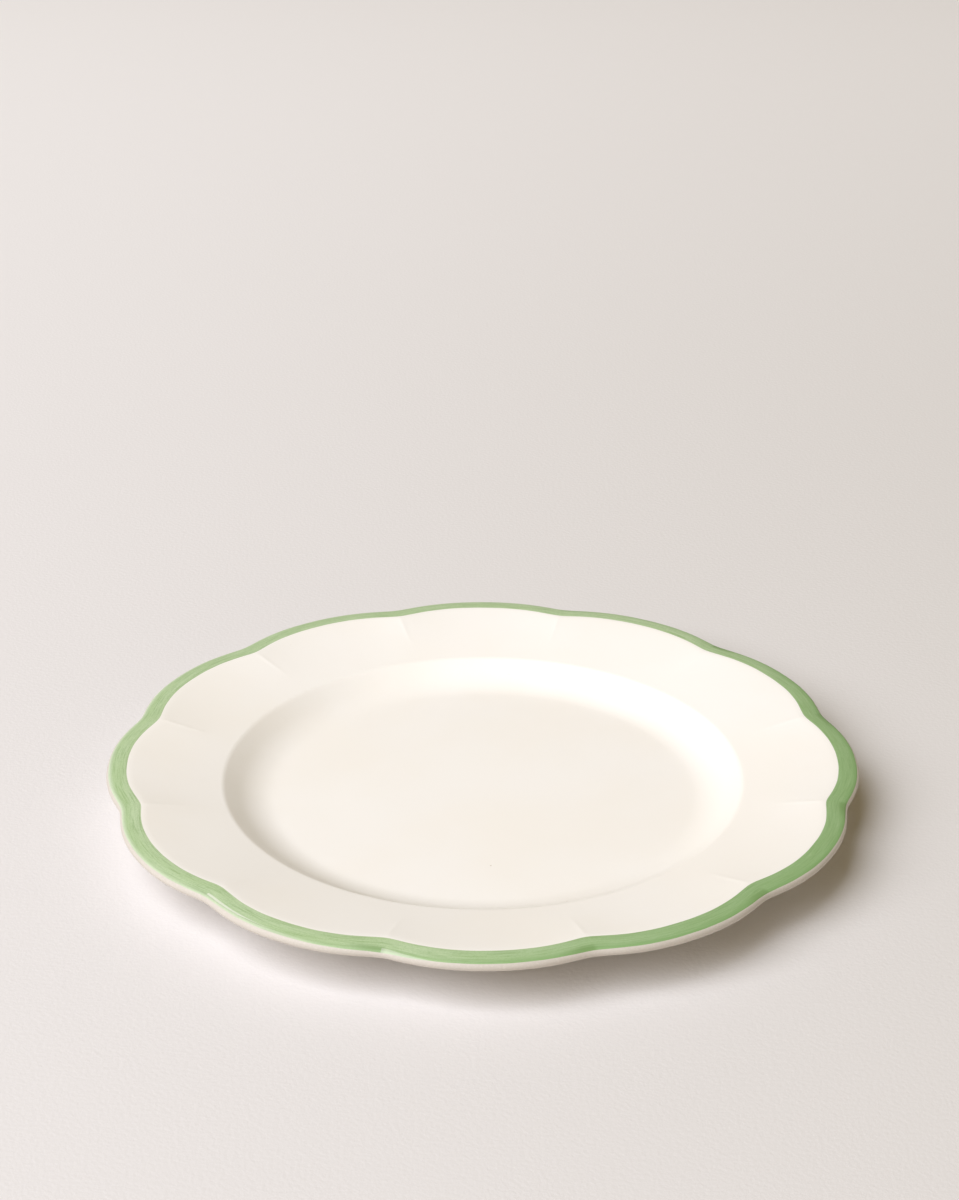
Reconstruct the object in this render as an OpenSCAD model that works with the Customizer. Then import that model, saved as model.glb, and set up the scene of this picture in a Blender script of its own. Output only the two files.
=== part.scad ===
// A scalloped china dinner plate: a pressed clay body under a glaze skin, with an enamel band on its lip.
// Millimetres. The origin is the centre of the foot's bearing face, and +Z is up.
// Each lobe of the edge is an arc about its own centre, and each lobe has its own hollowed panel on the rim.

/* [Plate] */
// Overall diameter, across two opposite lobe crowns
plate_d = 280; // [260:1:300]
// Overall height, from the foot to the crest of the lip
plate_h = 21; // [20:0.5:24]
// Number of lobes round the edge
lobe_count = 12; // [11:1:14]
// How far a notch sits inside the circle through the crowns
notch_depth = 3.6; // [2.8:0.1:4.4]

/* [Rim and lip] */
// Drop from the crest of the lip to the shoulder, where the rim meets the well
rim_drop = 6.1; // [5:0.1:7]
// Thickness of the glazed rim
rim_t = 4.3; // [4:0.1:4.8]
// Radius of the rounded outer edge
edge_r = 1.7; // [1.6:0.05:2]
// Radius of the low curve over the lip, from its crest at the band's inner edge
crest_r = 40; // [34:1:60]

/* [Well] */
// Diameter of the shoulder
shoulder_d = 193.6; // [188:0.2:198]
// Drop from the shoulder to the floor of the well
well_depth = 7.6; // [6.5:0.1:8.5]
// Slope of the well's wall, in degrees
wall_slope = 33; // [30:1:36]
// Radius of the curve between the floor and the wall
floor_fillet = 24; // [18:1:26]
// Thickness of the wall and of the floor's edge
wall_t = 4.3; // [3.8:0.1:4.6]

/* [Foot] */
// Diameter of the middle of the foot's bearing face
foot_d = 160.8; // [156:0.2:164]
// Width of the bearing face
foot_w = 3.2; // [2.6:0.1:3.6]
// Height of the foot ring above its bearing face
foot_h = 2.6; // [2.2:0.1:3]

/* [Glaze and band] */
// Thickness of the glaze skin
glaze_t = 0.4; // [0.3:0.05:0.5]
// Thickness of the enamel band
band_t = 0.12; // [0.1:0.01:0.15]
// From the outermost edge to the band's inner edge
band_inset = 7.65; // [7:0.05:8.5]
// How far the band turns over the rounded edge, in degrees from straight up
band_wrap = 30; // [20:1:40]

/* [Hidden] */
$fn = 96;

biscuit_color = [0.93, 0.89, 0.83];
glaze_color = [0.95, 0.92, 0.87];
band_color = [0.66, 0.78, 0.57];

// The edge: lobe_count arcs of radius lobe_r, whose centres lie lobe_offset from the plate's axis
sector = 360 / lobe_count;
half_sector = sector / 2;
lobe_angles = [for (i = [0:lobe_count - 1]) i * sector];
crown_r = plate_d / 2;
notch_r = crown_r - notch_depth;
lobe_offset = (crown_r ^ 2 - notch_r ^ 2) / (2 * (crown_r - notch_r * cos(half_sector)));
lobe_r = crown_r - lobe_offset;

// The lip's section, as [distance from the lobe's centre, height]: a crest arc runs into the edge arc
band_edge = [lobe_r - band_inset, plate_h];
crest_centre = band_edge - [0, band_t + crest_r];
edge_lean = asin((band_inset - edge_r) / (crest_r - edge_r));
edge_centre = crest_centre + (crest_r - edge_r) * [sin(edge_lean), cos(edge_lean)];

// The rim rises straight from the shoulder to the band's inner edge, along each crown line
shoulder = [shoulder_d / 2, plate_h - rim_drop];
rim_run = lobe_offset + band_edge[0] - shoulder[0];
rim_slope = atan2(band_edge[1] - shoulder[1], rim_run);
// Radius of a panel's hollow, which brings the band's inner edge level from crown to notch
notch_edge_r = lobe_offset * cos(half_sector)
    + sqrt(band_edge[0] ^ 2 - (lobe_offset * sin(half_sector)) ^ 2);
panel_half_w = notch_edge_r * sin(half_sector);
panel_sag = sin(rim_slope) * (lobe_offset + band_edge[0] - notch_edge_r * cos(half_sector));
panel_r = (panel_half_w ^ 2 + panel_sag ^ 2) / (2 * panel_sag);
// Under the lip a flatter stretch runs in from the edge arc until the rim has its full thickness
under_slope = 4;
edge_bottom = edge_centre + edge_r * [sin(under_slope), -cos(under_slope)];
rim_top_there = plate_h + (edge_bottom[0] - band_edge[0]) * tan(rim_slope);
under_drop = rim_top_there - rim_t / cos(rim_slope) - edge_bottom[1];
under_w = under_drop / (cos(under_slope) * tan(rim_slope) - sin(under_slope));
// A lobe's section turns this far each way and starts this far inside the shoulder
turn_half = 45;
shoulder_overlap = 0.5;
// A panel's hollow runs this far past its panel, and has this many facets for its large radius
panel_overlap = 14;
panel_facets = 256;

// The well: a level floor, a concave curve and a straight wall up to the shoulder
floor_z = shoulder[1] - well_depth;
fillet_rise = floor_fillet * (1 - cos(wall_slope));
fillet_run = floor_fillet * sin(wall_slope);
floor_r = shoulder[0] - (well_depth - fillet_rise) / tan(wall_slope) - fillet_run;
fillet_centre = [floor_r, floor_z + floor_fillet];

// The foot ring: its sides lean by the draft, between a chamfer at the bearing face and one where they end
foot_r = foot_d / 2;
foot_draft = 20;
foot_chamfer = 0.5;
// The clay is bare up to this height
bare_h = 0.6;
// The back's curve starts this far outside the bearing face, and its wall runs this far up into the rim
foot_to_back = 3;
wall_reach = 10;

// How far the band's covering section runs past the band, and its end runs into the lip
band_reach = 1;
// The lip taken away from that cover reaches this far in from the band
core_w = 14;

// What is left tall, and what cuts it off, stands this far clear of the plate
clear = 5;

function heading(angle) = [cos(angle), sin(angle)];

// Points along an arc, where angles run from straight up towards +X
function arc(centre, r, from, to, steps = 6) =
    [for (i = [0:steps]) let (a = from + (to - from) * i / steps) centre + r * [sin(a), cos(a)]];

function reversed(points) = [for (i = [len(points) - 1:-1:0]) points[i]];

function last(points) = points[len(points) - 1];

// All but the first point, and all but the last
function rest(points) = [for (i = [1:len(points) - 1]) points[i]];
function most(points) = [for (i = [0:len(points) - 2]) points[i]];

function unit(step) = step / norm(step);

// The lip's upper surface where the band lies, grown outwards by g
function band_path(g) = concat(
    arc(crest_centre, crest_r + g, 0, edge_lean, 3),
    rest(arc(edge_centre, edge_r + g, edge_lean, band_wrap, 2))
);

// One lobe's section of lip and rim, left tall on the inside for the panels to be cut from
function lobe_section(g) =
    let (
        outward = rest(arc(edge_centre, edge_r + g, band_wrap, 90, 3)),
        downward = rest(arc(edge_centre, edge_r + g, 90, 180 - under_slope, 4)),
        edge = concat(band_path(g), outward, downward),
        under = last(edge) - under_w * [cos(under_slope), sin(under_slope)],
        inner = shoulder[0] - lobe_offset - shoulder_overlap,
        rise = (band_edge[0] - inner) * tan(rim_slope)
    )
    concat(
        [[inner, plate_h + clear + rise], [band_edge[0], plate_h + clear]],
        edge,
        [under, [inner, under[1] - (under[0] - inner) * tan(rim_slope)]]
    );

// The first and last points of a path, each carried on along its own segment
function before_first(points) = points[0] + band_reach * unit(points[0] - points[1]);
function past_last(points) = last(points) + band_reach * unit(last(points) - points[len(points) - 2]);

// A section whose top and outer end are the band's, and which runs in past the band's inner edge
function cover_section() =
    concat(
        [before_first(band_path(band_t))],
        rest(band_path(band_t)),
        [edge_centre, [band_edge[0] - band_reach, edge_centre[1] + band_reach]]
    );

// The lip under the band, which also takes away all that is nearer the lobe's centre than the band
function core_section() =
    let (
        path = band_path(0),
        end = past_last(path),
        inner = band_edge[0] - core_w
    )
    concat(
        [[inner, plate_h + clear], [band_edge[0], plate_h + clear]],
        most(path),
        [end, [end[0], end[1] - edge_r], [inner, end[1] - 2 * edge_r]]
    );

// Half of the foot ring's section, from its bearing face up: side is 1 for the outer face, -1 for the inner
function foot_face(g, side) =
    let (
        bearing = foot_w / 2 + g,
        top_z = foot_h - g,
        low = bearing + foot_chamfer,
        high = low + (top_z - 2 * foot_chamfer) * tan(foot_draft)
    )
    [
        [foot_r + side * bearing, 0],
        [foot_r + side * low, foot_chamfer],
        [foot_r + side * high, top_z - foot_chamfer],
        [foot_r + side * (high + foot_chamfer), top_z]
    ];

// The middle of the plate's section: underside, foot ring and back wall, left tall above
function middle_section(g) =
    let (
        back_r = floor_fillet + wall_t + g,
        foot_side = foot_r + foot_w / 2 + foot_to_back,
        back_start = asin((foot_side - fillet_centre[0]) / back_r),
        back = arc(fillet_centre, back_r, 180 - back_start, 180 - wall_slope),
        wall_top = last(back) + wall_reach * [cos(wall_slope), sin(wall_slope)]
    )
    concat(
        [[0, foot_h - g]],
        reversed(foot_face(g, -1)),
        foot_face(g, 1),
        back,
        [wall_top, [wall_top[0], plate_h + clear], [0, plate_h + clear]]
    );

// The hollow of the well, above a floor and wall that stand g above the glaze's own surface
function well_section(g) =
    let (
        curve = arc(fillet_centre, floor_fillet - g, 180, 180 - wall_slope),
        rise = plate_h + 2 * clear - last(curve)[1],
        wall_top = last(curve) + rise * [1 / tan(wall_slope), 1]
    )
    concat([[0, floor_z + g]], curve, [wall_top, [0, wall_top[1]]]);

// A section turned about the centre of the lobe at this angle, far enough to end inside the next lobes
module lobe_turning(section, angle) {
    centre = lobe_offset * heading(angle);
    translate([centre[0], centre[1], 0])
        rotate_extrude(angle = 2 * turn_half, start = angle - turn_half)
            polygon(section);
}

// The hollow of the panel at this angle: a trough that runs out from the shoulder at the rim's slope
module panel_hollow(g, angle) {
    rotate([0, 0, angle])
        translate([shoulder[0], 0, shoulder[1]])
            rotate([0, -rim_slope, 0])
                translate([-panel_overlap, 0, panel_r])
                    rotate([0, 90, 0])
                        cylinder(r = panel_r - g, h = rim_run + 2 * panel_overlap, $fn = panel_facets);
}

// The whole plate, with its glazed surface moved outwards by g everywhere but at the bearing face
module plate_form(g) {
    difference() {
        union() {
            rotate_extrude() polygon(middle_section(g));
            for (angle = lobe_angles) lobe_turning(lobe_section(g), angle);
        }
        rotate_extrude() polygon(well_section(g));
        for (angle = lobe_angles) panel_hollow(g, angle);
    }
}

// Fired clay: rim, well and foot ring in one pressing
module plate_body() {
    color(biscuit_color) plate_form(-glaze_t);
}

// Glaze over the face, lip and back, stopping short of the bearing face
module outer_glaze() {
    color(glaze_color)
        difference() {
            plate_form(0);
            plate_form(-glaze_t);
            translate([0, 0, -clear]) cylinder(r = crown_r, h = clear + bare_h);
            translate([0, 0, -clear]) cylinder(r = foot_r, h = clear + foot_h + 2 * glaze_t);
        }
}

// Enamel band, brushed along the lip of each lobe: a cover over every lobe's lip, less the lip itself
module green_band() {
    color(band_color)
        difference() {
            union() for (angle = lobe_angles) lobe_turning(cover_section(), angle);
            for (angle = lobe_angles) lobe_turning(core_section(), angle);
        }
}

// Glaze on the base, inside the foot ring
module base_glaze() {
    color(glaze_color)
        rotate_extrude()
            difference() {
                translate([0, bare_h]) square([foot_r, foot_h - bare_h + 2 * glaze_t]);
                polygon(concat([[0, 0], [0, foot_h]], reversed(foot_face(0, -1))));
                polygon(middle_section(-glaze_t));
            }
}

plate_body();
outer_glaze();
green_band();
base_glaze();
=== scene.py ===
"""A scalloped china dinner plate with a hand-painted green band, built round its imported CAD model.

Sizes are in millimetres until a mesh is made, and the plate's axis is Z. Angles go round that axis.
"""

import math

import bpy
import numpy as np
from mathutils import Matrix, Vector


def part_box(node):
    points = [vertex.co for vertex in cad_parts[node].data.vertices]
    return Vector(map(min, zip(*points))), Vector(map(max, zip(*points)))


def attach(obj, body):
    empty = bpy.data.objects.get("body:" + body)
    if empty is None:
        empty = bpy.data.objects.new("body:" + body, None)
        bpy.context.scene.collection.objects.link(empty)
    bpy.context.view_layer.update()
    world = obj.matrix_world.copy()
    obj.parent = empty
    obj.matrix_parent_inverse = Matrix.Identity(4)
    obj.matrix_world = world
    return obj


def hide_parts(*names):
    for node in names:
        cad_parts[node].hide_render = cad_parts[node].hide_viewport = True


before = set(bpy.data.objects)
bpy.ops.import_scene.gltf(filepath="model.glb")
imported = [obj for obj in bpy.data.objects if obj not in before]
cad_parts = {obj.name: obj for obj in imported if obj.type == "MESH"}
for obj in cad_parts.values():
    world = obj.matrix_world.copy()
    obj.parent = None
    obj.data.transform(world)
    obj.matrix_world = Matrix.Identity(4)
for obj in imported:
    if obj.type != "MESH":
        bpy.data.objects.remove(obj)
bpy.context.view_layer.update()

MM = 0.001

# ------------------------------------------------------------ driving dimensions, in millimetres
CROWN_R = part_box("outer_glaze")[1].x / MM
CREST_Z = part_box("green_band")[1].z / MM
BARE_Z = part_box("outer_glaze")[0].z / MM

LOBES = 12
SECTOR = 2 * math.pi / LOBES

# The scallops: how deep they go, how their flanks curve and how softly the notches are rounded
EDGE_DEPTH, BAND_DEPTH = 0.0354, 0.0384
FLANK_POWER = 2.38
NOTCH_SOFT = 0.125
# The panels' ridges: how soft they are at the notches and at the shoulder, and how they change
# from one to the other
RIDGE_SOFT_OUT, RIDGE_SOFT_IN, RIDGE_TAPER = 0.035, 0.4, 0.6
# The fine crease along a ridge: its height and width, and the share of the rim where it starts
# and over which it rises
CREASE_H, CREASE_W = 0.1, 1.0
CREASE_FROM, CREASE_RISE = 0.3, 0.35

# The lip: a low crest curve over the band, then a round edge
BAND_INSET = 7.65
CREST_R = 40.0
EDGE_R = 1.7
UNDER_SLOPE = math.radians(4)

# The enamel: its thickness in the CAD, how deep it's sunk into the glaze here, and how far it
# stands proud at its edges and, beyond that, along its middle
ENAMEL_T = 0.12
BAND_SUNK, BAND_EDGE_H, BAND_DOME_H = 0.06, 0.004, 0.026
# How far round the edge the paint runs, how much further at the notches, and how much the band
# widens inwards there
BAND_WRAP, NOTCH_WRAP = math.radians(31), math.radians(19)
NOTCH_WIDEN = 0.35
# Where one notch had a heavier brush load, how much further its paint runs and how widely
HEAVY_NOTCH, HEAVY_WRAP, HEAVY_SPAN = math.radians(254), math.radians(16), math.radians(9)
# The painter's wandering hand: waves round the plate, their phase and their size
WANDER = [(5, 0.4, 0.07), (13, 1.9, 0.05), (31, 4.1, 0.035), (77, 2.6, 0.02)]

# The rim and the well. The rim's surface is worked out to RIM_REACH inside the shoulder
SHOULDER_R, SHOULDER_Z = 96.8, 14.9
RIM_REACH = 8
RIM_T = 4.36
WALL_SLOPE = math.radians(33)
WELL_DEPTH = 7.6
FLOOR_FILLET = 24.0
WALL_T = 4.3

# How widely corners are rounded: at the shoulder, where the rim meets the crest curve, inside the
# lip's underside, and where the rim's underside meets the back of the wall
SHOULDER_SOFT, CREST_SOFT, UNDER_SOFT, BACK_SOFT = 0.45, 0.3, 0.4, 1.2

# The foot
FOOT_R = 80.4
FOOT_W = 3.2
FOOT_H = 2.6
FOOT_DRAFT = math.radians(20)
FOOT_CHAMFER = 0.5
FOOT_ROUND = 0.7

# The glaze: its thickness, how far above its lowest point its last whole ring may lie, and how
# its rolled end hangs below that
GLAZE_T = 0.4
GLAZE_END = 0.25
TIP_DROP, BEAD_DROP = 0.24, 0.05
# How far the clay lies under the glaze's hidden side, and the lowest that its side rings go
CLAY_GAP = 0.02
CLAY_LOWEST = 0.02

# ------------------------------------------------------------ where the meshes' rings lie
AROUND = 44 * LOBES
FLOOR_RINGS = (9, 20, 34, 48, 60, 68, 73, 76)
CURVE_STEPS, WALL_STEPS = 11, 4
SHOULDER_REACH = 1.3
SHOULDER_RINGS = (-0.95, -0.7, -0.45, -0.2, 0, 0.2, 0.45, 0.7, 0.95, SHOULDER_REACH)
RIM_STEPS = 17
# Close rings across the band's inner edge, from the rim's side of it to the band's, and how far
# into the band the lip's own rings start
CREST_BEFORE, CREST_WITHIN, CREST_STEP = 2.2, 0.9, 0.28
LIP_START, LIP_COUNT = 1.15, 10
EDGE_COUNT = 19
# The back's rings change their spacing this far outside the shoulder, and stop just before the
# foot's start
BACK_TURN, BACK_END_R, FOOT_START_R = 8, 86, 85.6
UNDER_STEPS, BACK_STEPS = 14, 16
BASE_RINGS, BASE_EDGE_R = (12, 26, 42), 60
BAND_COUNT = 22
# Of the rings on hidden sides, only every third or fourth is kept
CLAY_EVERY, GLAZE_EVERY, BAND_EVERY = 3, 4, 3
# How many rings up to the lip's underside take the darker glaze colour, partly thinned glaze and
# partly painted shade on the edge, and the most that they take of that colour
THIN_COUNT, EDGE_DARKEST = 22, 0.85

# ------------------------------------------------------------ derived dimensions
CREST_TOP = CREST_Z - ENAMEL_T
CREST_CENTRE_Z = CREST_TOP - CREST_R
EDGE_LEAN = math.asin((BAND_INSET - EDGE_R) / (CREST_R - EDGE_R))
EDGE_INSET = BAND_INSET - (CREST_R - EDGE_R) * math.sin(EDGE_LEAN)
EDGE_Z = CREST_CENTRE_Z + (CREST_R - EDGE_R) * math.cos(EDGE_LEAN)
CREST_END = EDGE_INSET - EDGE_R * math.sin(EDGE_LEAN)
RIM_RISE = CREST_Z - SHOULDER_Z
FLOOR_Z = SHOULDER_Z - WELL_DEPTH
FILLET_RISE = FLOOR_FILLET * (1 - math.cos(WALL_SLOPE))
FILLET_RUN = FLOOR_FILLET * math.sin(WALL_SLOPE)
FLOOR_R = SHOULDER_R - (WELL_DEPTH - FILLET_RISE) / math.tan(WALL_SLOPE) - FILLET_RUN
FILLET_Z = FLOOR_Z + FLOOR_FILLET
BACK_R = FLOOR_FILLET + WALL_T
GLAZE_END_Z = BARE_Z + GLAZE_END

# Angles of the points round the plate, closest together at the notches
STEPS = np.arange(AROUND) * LOBES / AROUND
FROM_NOTCH = STEPS % 1 - 0.5
CROWDED = 0.5 * np.sign(FROM_NOTCH) * np.abs(2 * FROM_NOTCH) ** 1.5
THETA = (np.floor(STEPS) + 0.5 + CROWDED) * SECTOR


# ------------------------------------------------------------ shape of the plate
def scallop(theta, soft):
    """0 at a lobe's crown and about 1 in a notch, whose turn is rounded off over the share soft
    of a half lobe."""
    from_crown = 2 * np.abs((theta / SECTOR + 0.5) % 1 - 0.5)
    to_notch = 1 - from_crown
    rounded_off = np.sqrt(to_notch**2 + (soft * (1 - to_notch**2)) ** 2)
    return (1 - rounded_off).clip(0) ** FLANK_POWER


def outline(theta, inset, soft=NOTCH_SOFT):
    """Radius of the scalloped line that runs inset inside the outermost edge."""
    depth = EDGE_DEPTH + (BAND_DEPTH - EDGE_DEPTH) * inset / BAND_INSET
    return (CROWN_R - inset) * (1 - depth * scallop(theta, soft))


def lower_of(a, b, blend):
    """The lower of two heights, with the corner between them rounded."""
    near = (blend - np.abs(a - b)).clip(0) / blend
    return np.minimum(a, b) - near**2 * blend / 4


def rim_height(theta, r):
    """The rim's hollowed panels, whose ridges grow sharper from the shoulder to the notches."""
    run = ((r - SHOULDER_R) / (CROWN_R - BAND_INSET - SHOULDER_R)).clip(0, 1)
    soft = RIDGE_SOFT_IN + (RIDGE_SOFT_OUT - RIDGE_SOFT_IN) * run**RIDGE_TAPER
    aside = r * SECTOR * ((theta / SECTOR) % 1 - 0.5)
    risen = ((run - CREASE_FROM) / CREASE_RISE).clip(0, 1)
    crease = CREASE_H * np.exp(-((aside / CREASE_W) ** 2)) * risen
    slope = RIM_RISE * (r - SHOULDER_R) / (outline(theta, BAND_INSET, soft) - SHOULDER_R)
    return SHOULDER_Z + slope + crease


def well_height(r):
    """The well's floor, its curve and its sloping wall."""
    out = (r - FLOOR_R).clip(0)
    curve = FILLET_Z - np.sqrt(FLOOR_FILLET**2 - out.clip(0, FILLET_RUN) ** 2)
    return curve + (out - FILLET_RUN).clip(0) * math.tan(WALL_SLOPE)


def lip_height(inset):
    """The crest curve over the band."""
    return CREST_CENTRE_Z + np.sqrt(CREST_R**2 - (BAND_INSET - inset) ** 2)


def back_height(r):
    """The back of the well's wall, from the foot up to the rim."""
    out = (r - FLOOR_R).clip(0)
    end = BACK_R * math.sin(WALL_SLOPE)
    curve = FILLET_Z - np.sqrt(BACK_R**2 - out.clip(0, end) ** 2)
    return curve + (out - end).clip(0) * math.tan(WALL_SLOPE)


def ring(r, z):
    """One ring of points at radius r and height z, either of which may vary with the angle."""
    r, z = np.broadcast_to(r, AROUND), np.broadcast_to(z, AROUND)
    return np.stack([r * np.cos(THETA), r * np.sin(THETA), z], axis=-1)


def top_ring(r):
    """A ring on the well or the rim."""
    r = np.broadcast_to(r, AROUND)
    rim = np.where(r > SHOULDER_R - RIM_REACH, rim_height(THETA, r), SHOULDER_Z)
    return ring(r, lower_of(well_height(r), rim, SHOULDER_SOFT))


def crest_ring(inset):
    """A ring where the rim rolls over into the lip."""
    r = outline(THETA, inset)
    return ring(r, lower_of(rim_height(THETA, r), lip_height(inset), CREST_SOFT))


def edge_ring(turn):
    """A ring on the round edge, at an angle from straight up."""
    r = outline(THETA, EDGE_INSET - EDGE_R * math.sin(turn))
    return ring(r, EDGE_Z + EDGE_R * math.cos(turn))


def under_ring(r):
    """A ring under the rim or on the back of the well's wall."""
    r = np.broadcast_to(r, AROUND)
    edge_r = outline(THETA, EDGE_INSET)
    lip = EDGE_Z - EDGE_R - (edge_r - r) * math.tan(UNDER_SLOPE)
    rim = lower_of(lip, rim_height(THETA, r) - RIM_T, UNDER_SOFT)
    return ring(r, lower_of(rim, back_height(r), BACK_SOFT))


def rounded(points, reach, steps=4):
    """A polyline with each inner corner replaced by a short curve, which takes less than half of
    each of its legs."""
    out = [points[0]]
    for before, corner, after in zip(points, points[1:], points[2:]):
        before, corner, after = map(np.array, (before, corner, after))
        legs = [(before - corner), (after - corner)]
        near = [corner + leg * min(reach / np.linalg.norm(leg), 0.45) for leg in legs]
        for t in np.linspace(0, 1, steps):
            out.append(tuple((1 - t) ** 2 * near[0] + 2 * t * (1 - t) * corner + t**2 * near[1]))
    return out + [points[-1]]


def foot_side(side, sunk):
    """The foot's outer (side 1) or inner (side -1) face as points of radius and height, from the
    bearing face up."""
    half = FOOT_W / 2 - sunk
    top = FOOT_H + sunk
    spread = (top - 2 * FOOT_CHAMFER) * math.tan(FOOT_DRAFT)
    return [
        (FOOT_R + side * half, 0),
        (FOOT_R + side * (half + FOOT_CHAMFER), FOOT_CHAMFER),
        (FOOT_R + side * (half + FOOT_CHAMFER + spread), top - FOOT_CHAMFER),
        (FOOT_R + side * (half + 2 * FOOT_CHAMFER + spread), top),
    ]


def well_rings():
    """Rings over the floor, its curve and the wall, to just inside the shoulder."""
    curve_end = FLOOR_R + FILLET_RUN
    wall = SHOULDER_R - SHOULDER_REACH - FLOOR_R - FILLET_RUN
    return (
        [top_ring(r) for r in FLOOR_RINGS + (FLOOR_R,)]
        + [top_ring(FLOOR_R + FILLET_RUN * k / CURVE_STEPS) for k in range(1, CURVE_STEPS + 1)]
        + [top_ring(curve_end + wall * k / WALL_STEPS) for k in range(1, WALL_STEPS + 1)]
    )


def face_rings():
    """Rings over the whole top, from the middle of the well to the lip's underside."""
    shoulder = [top_ring(SHOULDER_R + step) for step in SHOULDER_RINGS]
    start = SHOULDER_R + SHOULDER_REACH
    stop = outline(THETA, BAND_INSET + CREST_BEFORE)
    rim = [top_ring(start + (stop - start) * k / RIM_STEPS) for k in range(1, RIM_STEPS)]
    crest_steps = np.arange(CREST_BEFORE, -CREST_WITHIN, -CREST_STEP)
    crest = [crest_ring(BAND_INSET + step) for step in crest_steps]
    lip_insets = np.linspace(BAND_INSET - LIP_START, CREST_END, LIP_COUNT)
    lip = [crest_ring(inset) for inset in lip_insets]
    turns = np.linspace(EDGE_LEAN, math.pi - UNDER_SLOPE, EDGE_COUNT)[1:]
    edge = [edge_ring(turn) for turn in turns]
    return well_rings() + shoulder + rim + crest + lip + edge


def back_rings():
    """Rings from the lip's underside in to the foot."""
    edge_r = outline(THETA, EDGE_INSET)
    inner = SHOULDER_R + BACK_TURN
    rim_steps, wall_steps = range(1, UNDER_STEPS + 1), range(1, BACK_STEPS + 1)
    rim = [under_ring(edge_r + (inner - edge_r) * k / UNDER_STEPS) for k in rim_steps]
    wall = [under_ring(inner - (inner - BACK_END_R) * k / BACK_STEPS) for k in wall_steps]
    return rim + wall


def foot_rings(sunk, lowest):
    """Rings down the foot's outer face, from the back of the wall to the height lowest."""
    start_z = float(back_height(np.array(FOOT_START_R))) + sunk
    path = foot_side(1, sunk) + [(FOOT_START_R, start_z)]
    path = rounded(path[::-1], FOOT_ROUND)
    return [ring(r, z) for r, z in path if z > lowest]


def base_rings(sunk, lowest):
    """Rings on the base inside the foot, from the middle out and down the foot's inner face."""
    top = FOOT_H + sunk
    path = rounded([(BASE_EDGE_R, top)] + foot_side(-1, sunk)[::-1], FOOT_ROUND)
    flat = [(r, top) for r in BASE_RINGS]
    return [ring(r, z) for r, z in flat + path if z > lowest]


# ------------------------------------------------------------ making meshes
def normals(rings):
    """Unit normals of a stack of rings, pointing away from the clay."""
    along = np.gradient(rings, axis=0)
    around = np.roll(rings, -1, axis=1) - np.roll(rings, 1, axis=1)
    out = np.cross(along, around)
    return out / np.linalg.norm(out, axis=-1, keepdims=True)


def below_surface(rings, depth):
    """The same rings, moved into the plate by depth."""
    return rings - normals(rings) * depth


def skin_mesh(name, rings, ends=None, spread=None):
    """A closed mesh from a stack of rings. ends are the two points that close it; without them
    the stack closes on itself. spread gives one value per ring, kept as the attribute "spread"."""
    count = len(rings)
    verts = rings.reshape(-1, 3)
    index = np.arange(count * AROUND).reshape(count, AROUND)
    nxt = np.roll(index, -1, axis=1)
    stacks = count if ends is None else count - 1
    faces = []
    for k in range(stacks):
        a, b = k, (k + 1) % count
        faces += np.stack([index[a], index[b], nxt[b], nxt[a]], axis=-1).tolist()
    per_ring = np.zeros(count) if spread is None else np.asarray(spread, float)
    values = np.repeat(per_ring, AROUND)
    if ends is not None:
        first, last = len(verts), len(verts) + 1
        faces += [(first, a, b) for a, b in zip(index[0], nxt[0])]
        faces += [(last, b, a) for a, b in zip(index[-1], nxt[-1])]
        verts = np.vstack([verts, np.array(ends, float)])
        values = np.concatenate([values, [values[0], values[-1]]])
    mesh = bpy.data.meshes.new(name)
    mesh.from_pydata((verts * MM).tolist(), [], [tuple(int(i) for i in f) for f in faces])
    mesh.shade_smooth()
    mesh.attributes.new("spread", "FLOAT", "POINT").data.foreach_set("value", values)
    mesh.validate()
    obj = bpy.data.objects.new(name, mesh)
    bpy.context.scene.collection.objects.link(obj)
    return obj


def place(obj, material, node):
    """Dresses a piece, and lets it stand for its CAD node on the one body."""
    obj.data.materials.append(material)
    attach(obj, "root")
    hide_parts(node)
    return obj


# ------------------------------------------------------------ material helpers
def linear(r, g, b):
    """A colour given as 0 to 255 display values, as the shader wants it."""
    parts = [c / 255 for c in (r, g, b)]
    return tuple(c / 12.92 if c <= 0.04045 else ((c + 0.055) / 1.055) ** 2.4 for c in parts) + (1,)


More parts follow.
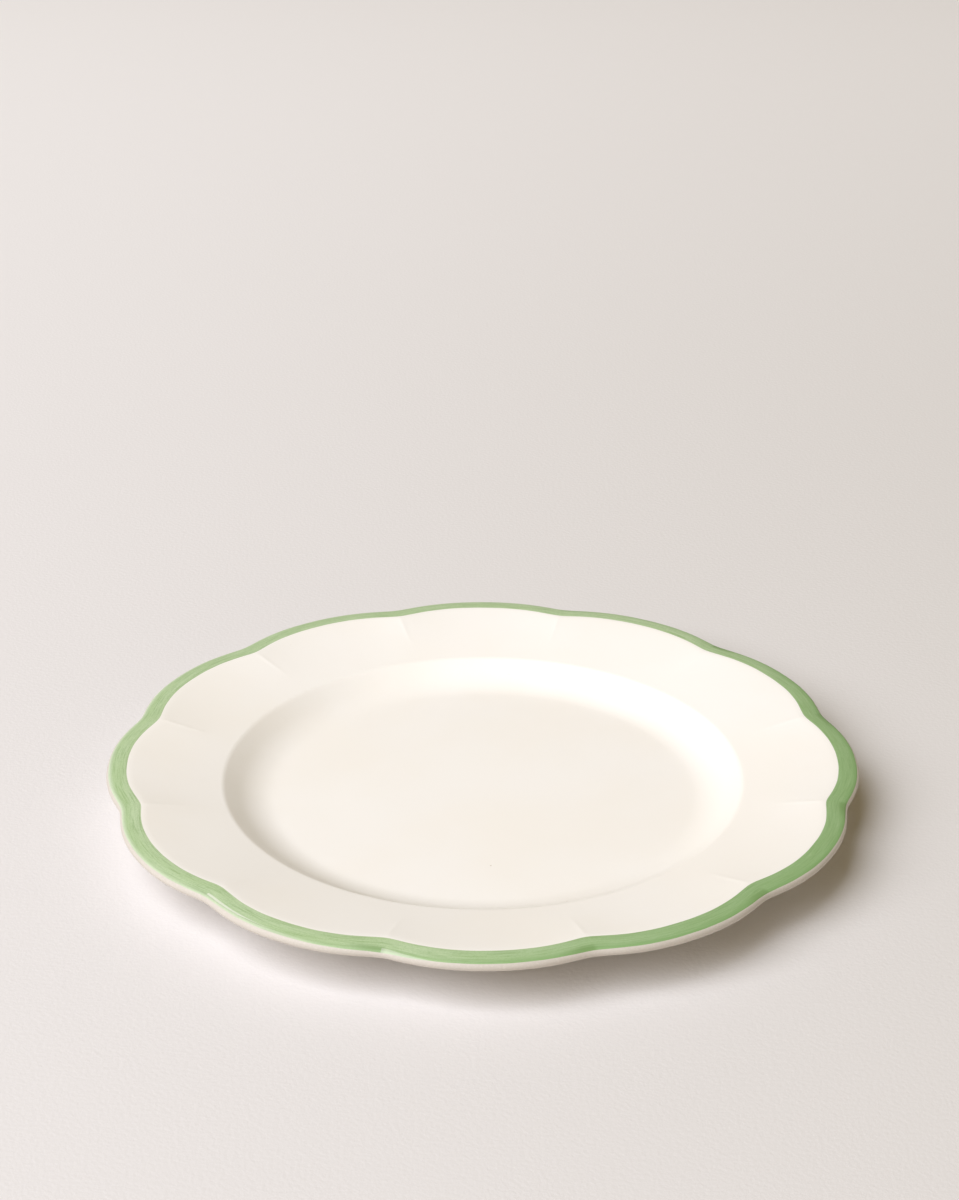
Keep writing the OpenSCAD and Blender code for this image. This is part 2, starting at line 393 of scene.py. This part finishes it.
class Nodes:
    """Short names for making and linking a material's nodes."""

    def __init__(self, name):
        self.material = bpy.data.materials.new(name)
        self.material.use_nodes = True
        self.tree = self.material.node_tree
        self.shader = self.tree.nodes["Principled BSDF"]
        self.position = self.add("ShaderNodeTexCoord").outputs["Object"]

    def add(self, kind, **settings):
        node = self.tree.nodes.new(kind)
        for key, value in settings.items():
            setattr(node, key, value)
        return node

    def put(self, socket, value):
        """Links value to a socket if it is an output, or else sets it."""
        if isinstance(value, bpy.types.NodeSocket):
            self.tree.links.new(value, socket)
        else:
            socket.default_value = value

    def attribute(self, name):
        return self.add("ShaderNodeAttribute", attribute_name=name).outputs["Fac"]

    def vector(self, x, y, z):
        node = self.add("ShaderNodeCombineXYZ")
        for socket, value in zip(node.inputs, (x, y, z)):
            self.put(socket, value)
        return node.outputs[0]

    def parts(self, vector):
        """The X and Y of a vector."""
        node = self.add("ShaderNodeSeparateXYZ")
        self.put(node.inputs[0], vector)
        return node.outputs[0], node.outputs[1]

    def noise(self, scale, detail=2.0, where=None, roughness=0.5):
        """Noise of about scale patches to a metre, or to a unit of where."""
        node = self.add("ShaderNodeTexNoise")
        self.put(node.inputs["Vector"], self.position if where is None else where)
        node.inputs["Scale"].default_value = scale
        node.inputs["Detail"].default_value = detail
        node.inputs["Roughness"].default_value = roughness
        return node.outputs["Fac"]

    def math(self, operation, a, b=0.0, third=0.0):
        node = self.add("ShaderNodeMath", operation=operation)
        for socket, value in zip(node.inputs, (a, b, third)):
            self.put(socket, value)
        return node.outputs[0]

    def plus(self, a, b):
        return self.math("ADD", a, b)

    def minus(self, a, b):
        return self.math("SUBTRACT", a, b)

    def times(self, a, b):
        return self.math("MULTIPLY", a, b)

    def most(self, a, b):
        return self.math("MAXIMUM", a, b)

    def is_stroke(self, turns, number):
        """1 on the brush stroke with this number, and 0 on the others."""
        stroke = self.math("FLOOR", turns)
        return self.math("COMPARE", self.math("MODULO", stroke, LOBES), number, third=0.5)

    def span(self, value, low, high, to_low=0.0, to_high=1.0):
        """value from low to high, smoothly remapped and held at the ends."""
        node = self.add("ShaderNodeMapRange", interpolation_type="SMOOTHSTEP")
        for socket, given in zip(node.inputs, (value, low, high, to_low, to_high)):
            self.put(socket, given)
        return node.outputs[0]

    def mix(self, share, a, b):
        node = self.add("ShaderNodeMix", data_type="RGBA")
        self.put(node.inputs["Factor"], share)
        self.put(node.inputs[6], a)
        self.put(node.inputs[7], b)
        return node.outputs[2]

    def bump(self, height, distance, strength, under=None):
        node = self.add("ShaderNodeBump")
        self.put(node.inputs["Height"], height)
        node.inputs["Distance"].default_value = distance
        node.inputs["Strength"].default_value = strength
        if under is not None:
            self.put(node.inputs["Normal"], under)
        return node.outputs["Normal"]

    def finish(self, colour, roughness, normal, gloss=0.5):
        self.put(self.shader.inputs["Base Color"], colour)
        self.put(self.shader.inputs["Roughness"], roughness)
        self.put(self.shader.inputs["Specular IOR Level"], gloss)
        self.put(self.shader.inputs["Normal"], normal)
        return self.material


# ------------------------------------------------------------ materials
GLAZE = linear(249, 245, 238)
GLAZE_DEEP = linear(246, 239, 226)
# Darker glaze for thinned edges, also used as painted shade round the lip's edge.
GLAZE_THIN_AND_SHADE = linear(192, 183, 170)
BARE_GLAZE = linear(248, 245, 238)
SPECK = linear(170, 140, 104)
GREEN = linear(181, 203, 156)
GREEN_LIGHT = linear(191, 210, 169)
# Deeper paint, also used as painted shade on the band's front right.
GREEN_DEEP_AND_SHADE = linear(132, 168, 108)
GREEN_DAB = linear(124, 156, 98)
CLAY = linear(226, 210, 184)
CLAY_DEEP = linear(214, 196, 168)
CLAY_WORN = linear(176, 158, 132)
# The table's right and back tones are painted shade and painted light.
TABLE_LEFT = linear(232, 228, 226)
TABLE_RIGHT_SHADED = linear(224, 220, 216)
TABLE_BACK_LIT = linear(250, 247, 246)

# Units of noise to a radian of the band, and across its width for the fine and broad streaks. A
# fine streak is about one unit of its noise, and a broad one 1 / BROAD_SCALE units
STREAKS, FINE_ACROSS, BROAD_ACROSS = 12, 15, 6
BROAD_SCALE = 0.35
# The strokes that start with a bare streak and with a pale patch. Stroke k has its middle k lobes
# round from +X
STREAKED_STROKE, PATCHED_STROKE = 8, 9


def specks(n):
    """1 on a few tiny specks, and 0 elsewhere."""
    dots = n.add("ShaderNodeTexVoronoi")
    n.put(dots.inputs["Vector"], n.position)
    dots.inputs["Scale"].default_value = 95
    near = n.span(dots.outputs["Distance"], 0.02, 0.034, 1.0, 0.0)
    rare = n.span(n.noise(60, 0), 0.62, 0.66)
    return n.times(near, rare)


def glaze_material(name):
    """Satin cream glaze, faintly clouded, with a few tiny specks. It is darker and browner where it
    is thinned over an edge, by its attribute "spread", and round the lip that darkening is also
    painted shade."""
    n = Nodes(name)
    cloud = n.span(n.noise(16, 3), 0.35, 0.7)
    colour = n.mix(n.times(cloud, 0.35), GLAZE, GLAZE_DEEP)
    colour = n.mix(n.attribute("spread"), colour, GLAZE_THIN_AND_SHADE)
    grain = n.span(n.noise(1400, 1), 0.45, 0.75)
    colour = n.mix(n.times(grain, 0.1), colour, GLAZE_DEEP)
    colour = n.mix(n.times(specks(n), 0.5), colour, SPECK)
    swell = n.bump(n.noise(55, 1), 0.0006, 0.12)
    peel = n.bump(n.noise(420, 1), 0.00006, 0.1, swell)
    return n.finish(colour, n.span(n.noise(45, 3), 0.3, 0.75, 0.3, 0.42), peel, 0.12)


def brushed_green(n, turns, fine, broad, side, shade):
    """The paint itself: streaks, painted shade towards the front right, a dark edge along the lip
    that is partly pooling paint and partly painted shade where the lip turns from the light, and a
    darker dab on the outer side where each stroke ends, made stronger on the right by painted shade."""
    colour = n.mix(n.span(broad, 0.3, 0.7), GREEN, GREEN_LIGHT)
    # Painted shade: the paint is darkened towards the front right, away from the light.
    colour = n.mix(n.span(shade, 0.1, 0.85, 0.0, 0.72), colour, GREEN_DEEP_AND_SHADE)
    colour = n.mix(n.span(fine, 0.28, 0.44, 0.3, 0.0), colour, GREEN_LIGHT)
    colour = n.mix(n.span(fine, 0.45, 0.68, 0.0, 0.5), colour, GREEN_DAB)
    grain = n.noise(1900, 2)
    colour = n.mix(n.span(grain, 0.4, 0.75, 0.0, 0.28), colour, GREEN_DEEP_AND_SHADE)
    # Darker along the lip: partly pooling paint, partly painted shade that grows where the lip turns
    # away from the light.
    pooled_and_shaded = n.times(n.span(side, 0.62, 0.95), n.span(shade, -0.3, 0.7, 0.1, 0.8))
    colour = n.mix(pooled_and_shaded, colour, GREEN_DEEP_AND_SHADE)
    past_notch = n.minus(n.math("FRACT", n.plus(turns, 0.5)), 0.5)
    dab = n.times(n.span(past_notch, -0.2, -0.03), n.span(past_notch, 0.0, 0.03, 1.0, 0.0))
    # Each stroke's end dab is real paint; its strength grows to the right as painted shade.
    shaded_outer_side = n.times(n.span(side, 0.5, 0.85), n.span(shade, -0.5, 0.3, 0.1, 0.85))
    return n.mix(n.times(dab, shaded_outer_side), colour, GREEN_DAB)


def bare_share(n, turns, across, side, shade):
    """How much of the glaze shows through the paint: along the lip on the left, where the paint
    thins out and painted light pales it, in one stroke's streak, in the next one's patch and at the
    feathered inner edge."""
    along = n.math("FRACT", turns)
    # Paler along the lip on the left: partly thinning paint, partly a painted highlight where the
    # lip faces the light.
    lit_fringe = n.times(n.span(side, 0.74, 1.0), n.span(shade, -0.75, 0.35, 0.3, 0.0))

    patch = n.span(n.minus(across, n.plus(0.72, along)), 0.0, 0.05)
    patch = n.times(patch, n.is_stroke(turns, PATCHED_STROKE))
    patch = n.times(patch, n.span(along, 0.0, 0.004))

    streak_half = n.span(along, 0.05, 0.45, 0.065, 0.02)
    off_streak = n.math("ABSOLUTE", n.minus(side, 0.8))
    streak = n.times(n.span(n.minus(off_streak, streak_half), -0.02, 0.02, 1.0, 0.0), 0.52)
    streak = n.times(streak, n.span(along, 0.28, 0.5, 1.0, 0.0))
    outside = n.times(n.span(side, 0.8, 0.92), n.span(along, 0.45, 0.85, 0.22, 0.0))
    streak = n.times(n.most(streak, outside), n.is_stroke(turns, STREAKED_STROKE))

    feather = n.times(n.span(across, 0.0, 0.03, 1.0, 0.0), 0.35)
    bare = n.most(n.most(n.times(patch, 0.26), streak), lit_fringe)
    return n.most(bare, feather)


def band_material():
    """Green enamel, brushed on in one stroke to a lobe, with painted shade darkening it towards the
    front right.
    turns counts lobes from a notch, and its whole part numbers the stroke."""
    n = Nodes("green_enamel")
    across = n.attribute("across")
    x, y = n.parts(n.position)
    angle = n.math("ARCTAN2", y, x)
    turns = n.plus(n.math("DIVIDE", angle, SECTOR), LOBES + 0.5)
    cosine, sine = n.math("COSINE", angle), n.math("SINE", angle)
    round_x, round_y = n.times(cosine, STREAKS), n.times(sine, STREAKS)
    fine_at = n.vector(round_x, round_y, n.times(across, FINE_ACROSS))
    broad_at = n.vector(round_x, round_y, n.times(across, BROAD_ACROSS))
    fine = n.noise(1.0, 4, fine_at, 0.7)
    broad = n.noise(BROAD_SCALE, 2, broad_at)
    side = n.plus(across, n.times(n.minus(fine, 0.5), 0.22))
    # shade grows towards the front right, away from the softbox, and paints shade into the band's
    # colour.
    shade = n.plus(n.times(cosine, 0.8), n.times(sine, -0.35))
    colour = brushed_green(n, turns, fine, broad, side, shade)
    colour = n.mix(bare_share(n, turns, across, side, shade), colour, BARE_GLAZE)
    tooth = n.bump(fine, 0.00003, 0.2, n.bump(n.noise(70, 2), 0.0006, 0.12))
    return n.finish(colour, n.span(broad, 0.3, 0.7, 0.36, 0.5), tooth, 0.2)


def clay_material():
    """Bare fired clay, matt and faintly gritty, worn darker on the ring that the plate stands on,
    by its attribute "spread"."""
    n = Nodes("biscuit_clay")
    colour = n.mix(n.span(n.noise(260, 4), 0.35, 0.7), CLAY, CLAY_DEEP)
    worn = n.times(n.attribute("spread"), n.span(n.noise(220, 4), 0.3, 0.75))
    colour = n.mix(n.times(worn, 0.5), colour, CLAY_WORN)
    grit = n.bump(n.noise(1500, 4), 0.00012, 0.6)
    return n.finish(colour, n.span(n.noise(300, 2), 0.3, 0.7, 0.7, 0.9), grit)


def table_material():
    """A pale matt table with a faint tooth, with painted shade making it deeper in tone at the right
    and painted light making it paler far behind the plate, in place of the light's falloff."""
    n = Nodes("pale_table")
    x, y = n.parts(n.position)
    # Painted light: the table darkens towards the right and pales far behind, standing in for the
    # lamp's falloff.
    falloff_drift = n.plus(x, n.times(n.noise(3, 2), 0.1))
    colour = n.mix(n.span(falloff_drift, -0.3, 0.4), TABLE_LEFT, TABLE_RIGHT_SHADED)
    colour = n.mix(n.times(n.span(y, 0.1, 1.4), 0.9), colour, TABLE_BACK_LIT)
    return n.finish(colour, 0.8, n.bump(n.noise(620, 3), 0.0003, 0.4), 0.3)


# ------------------------------------------------------------ the plate
def build_clay():
    """The fired clay under the glaze, bare only where it stands."""
    cover = np.array(face_rings() + back_rings())
    sunk = below_surface(cover, GLAZE_T + CLAY_GAP)[::CLAY_EVERY]
    side = foot_rings(GLAZE_T, CLAY_LOWEST)
    half = FOOT_W / 2 - GLAZE_T
    bearing = [ring(FOOT_R + half * s, 0.0) for s in (0.97, 0.5, 0, -0.5, -0.97)]
    base = base_rings(GLAZE_T + CLAY_GAP, CLAY_LOWEST)[::-1]
    rings = np.concatenate([sunk, side, bearing, base])
    unworn = np.zeros(len(sunk) + len(side))
    worn = np.concatenate([unworn, np.ones(len(bearing)), np.zeros(len(base))])
    ends = [(0, 0, FLOOR_Z - GLAZE_T - CLAY_GAP), (0, 0, FOOT_H + GLAZE_T + CLAY_GAP)]
    clay = skin_mesh("biscuit_body", rings, ends, worn)
    place(clay, clay_material(), "plate_body")


def build_glaze():
    """The glaze over the face, lip and back, with its hidden side, and a soft rolled end above
    the foot's bearing."""
    face = face_rings()
    outer = np.array(face + back_rings() + foot_rings(0, GLAZE_END_Z))
    # Round the lip's edge the glaze takes a darker colour: partly thinned glaze, partly painted
    # shade.
    thin_and_shade = np.zeros(len(outer))
    round_edge = np.sin(np.linspace(0, math.pi, THIN_COUNT)).clip(0)
    thin_and_shade[len(face) - THIN_COUNT : len(face)] = round_edge**0.25 * EDGE_DARKEST
    inward = below_surface(outer, GLAZE_T)
    end, hidden_end = outer[-1], inward[-1]
    tip = (end + hidden_end) / 2 - [0, 0, TIP_DROP]
    bead_out = (end * 2 + tip * 2 - [0, 0, BEAD_DROP]) / 4
    bead_in = (hidden_end * 2 + tip * 2) / 4
    hidden = inward[::-1][::GLAZE_EVERY]
    rings = np.concatenate([outer, [bead_out, tip, bead_in], hidden])
    spread = np.concatenate([thin_and_shade, [0.3, 0.5, 0.3], np.zeros(len(hidden))])
    ends = [(0, 0, FLOOR_Z), (0, 0, FLOOR_Z - GLAZE_T)]
    glaze = skin_mesh("glaze_skin", rings, ends, spread)
    place(glaze, glaze_material("cream_glaze_face"), "outer_glaze")


def build_base():
    """The glaze inside the foot ring, with its hidden side."""
    outer = np.array(base_rings(0, GLAZE_END_Z))
    inner = np.array(base_rings(GLAZE_T, GLAZE_END_Z))
    tip = (outer[-1] + inner[-1]) / 2 - [0, 0, TIP_DROP]
    rings = np.concatenate([outer, [tip], inner[::-1]])[::-1]
    ends = [(0, 0, FOOT_H + GLAZE_T), (0, 0, FOOT_H)]
    base = skin_mesh("base_glaze_pool", rings, ends)
    place(base, glaze_material("cream_glaze_base"), "base_glaze")


def edge_wander(side):
    """How far the painter's hand strays along one edge of the band."""
    return sum(size * np.sin(k * THETA + phase + 2.1 * side) for k, phase, size in WANDER)


def band_ring(across, lift):
    """A ring on the band. across runs from 0 at its inner edge to 1 at its outer one."""
    notch = scallop(THETA, NOTCH_SOFT)
    inner = BAND_INSET + edge_wander(0) + NOTCH_WIDEN * notch**3
    heavy = HEAVY_WRAP * np.exp(-(((THETA - HEAVY_NOTCH) / HEAVY_SPAN) ** 2))
    outer_turn = BAND_WRAP + NOTCH_WRAP * notch**2 + heavy + edge_wander(1) / EDGE_R
    length = inner - CREST_END
    arc = EDGE_R * (outer_turn - EDGE_LEAN)
    run = across * (length + arc)
    inset = np.where(run < length, inner - run, CREST_END)
    turn = np.where(run < length, 0, EDGE_LEAN + (run - length) / EDGE_R)
    r = outline(THETA, np.where(turn > 0, EDGE_INSET - EDGE_R * np.sin(turn), inset))
    crest_z = lower_of(rim_height(THETA, r), lip_height(inset), CREST_SOFT)
    z = np.where(turn > 0, EDGE_Z + EDGE_R * np.cos(turn), crest_z)
    lean = np.where(turn > 0, turn, np.arcsin((BAND_INSET - inset).clip(0) / CREST_R))
    return ring(r + lift * np.sin(lean), z + lift * np.cos(lean))


def build_band():
    """The enamel, as a thin closed ribbon that lies on the lip and feathers out at both edges."""
    steps = np.linspace(0, 1, BAND_COUNT)
    back_steps = steps[::-1][::BAND_EVERY]
    domed = (4 * steps * (1 - steps)) ** 0.35
    top = [band_ring(s, BAND_EDGE_H + BAND_DOME_H * d) for s, d in zip(steps, domed)]
    under = [band_ring(s, -BAND_SUNK) for s in back_steps]
    band = skin_mesh("enamel_band", np.array(top + under))
    band.data.set_sharp_from_angle(angle=math.radians(50))
    across = np.repeat(np.concatenate([steps, back_steps]), AROUND)
    band.data.attributes.new("across", "FLOAT", "POINT").data.foreach_set("value", across)
    place(band, band_material(), "green_band")


# ------------------------------------------------------------ table, light and camera, in metres
TABLE_HALF = 1.8
# The softbox: which way it lies from the plate and how far, what it is aimed at, its width, its
# watts and its tint
KEY_TOWARD, KEY_AWAY = Vector((-13.5, -7.5, 18.5)), 4.5
KEY_AIM = Vector((0, 4.8, 0))
KEY_SIZE, KEY_POWER, KEY_TINT = 4.2, 300, (1.0, 1.025, 1.12)
# The room's glow, and how high its walls end and its ceiling starts, as the sine of the angle up
WALLS_END, WALLS = 0.2, (0.62, 0.58, 0.5, 1)
CEILING_START, CEILING = 0.3, (0.2, 0.155, 0.065, 1)
# The camera's lens and sensor in millimetres, its place, and how far it dips and turns in degrees
LENS, SENSOR = 80.96, 36.0
CAMERA_AT = (-0.0093, -0.8872, 0.5013)
CAMERA_DIP, CAMERA_TURN = 25.07, -0.52


def build_table():
    """A wide pale table under the foot."""
    low, high = -TABLE_HALF, TABLE_HALF
    corners = [(low, low, 0), (high, low, 0), (high, high, 0), (low, high, 0)]
    mesh = bpy.data.meshes.new("table")
    mesh.from_pydata(corners, [], [(0, 1, 2, 3)])
    table = bpy.data.objects.new("table", mesh)
    bpy.context.scene.collection.objects.link(table)
    mesh.materials.append(table_material())


def build_softbox():
    """One broad softbox at the front left, aimed past the plate so that its light stays even to
    the back of the table."""
    key = bpy.data.lights.new("softbox", "AREA")
    key.shape, key.size, key.energy = "SQUARE", KEY_SIZE, KEY_POWER
    key.color = KEY_TINT
    lamp = bpy.data.objects.new("softbox", key)
    lamp.location = KEY_TOWARD.normalized() * KEY_AWAY
    lamp.rotation_euler = (lamp.location - KEY_AIM).to_track_quat("Z", "Y").to_euler()
    bpy.context.scene.collection.objects.link(lamp)


def build_room():
    """Pale walls round the room that glow more than the ceiling."""
    world = bpy.data.worlds.new("studio")
    bpy.context.scene.world = world
    world.use_nodes = True
    tree = world.node_tree
    coordinates = tree.nodes.new("ShaderNodeTexCoord")
    split = tree.nodes.new("ShaderNodeSeparateXYZ")
    ramp = tree.nodes.new("ShaderNodeValToRGB")
    tree.links.new(coordinates.outputs["Generated"], split.inputs[0])
    tree.links.new(split.outputs["Z"], ramp.inputs[0])
    walls, ceiling = ramp.color_ramp.elements
    walls.position, walls.color = WALLS_END, WALLS
    ceiling.position, ceiling.color = CEILING_START, CEILING
    tree.links.new(ramp.outputs[0], tree.nodes["Background"].inputs["Color"])


def build_camera():
    """The camera, on a long lens from in front and above."""
    lens = bpy.data.cameras.new("camera")
    lens.lens, lens.sensor_width = LENS, SENSOR
    camera = bpy.data.objects.new("camera", lens)
    camera.location = CAMERA_AT
    camera.rotation_euler = (math.radians(90 - CAMERA_DIP), 0, math.radians(CAMERA_TURN))
    bpy.context.scene.collection.objects.link(camera)
    bpy.context.scene.camera = camera


build_clay()
build_glaze()
build_base()
build_band()
build_table()
build_softbox()
build_room()
build_camera()
bpy.context.scene.view_settings.view_transform = "Standard"
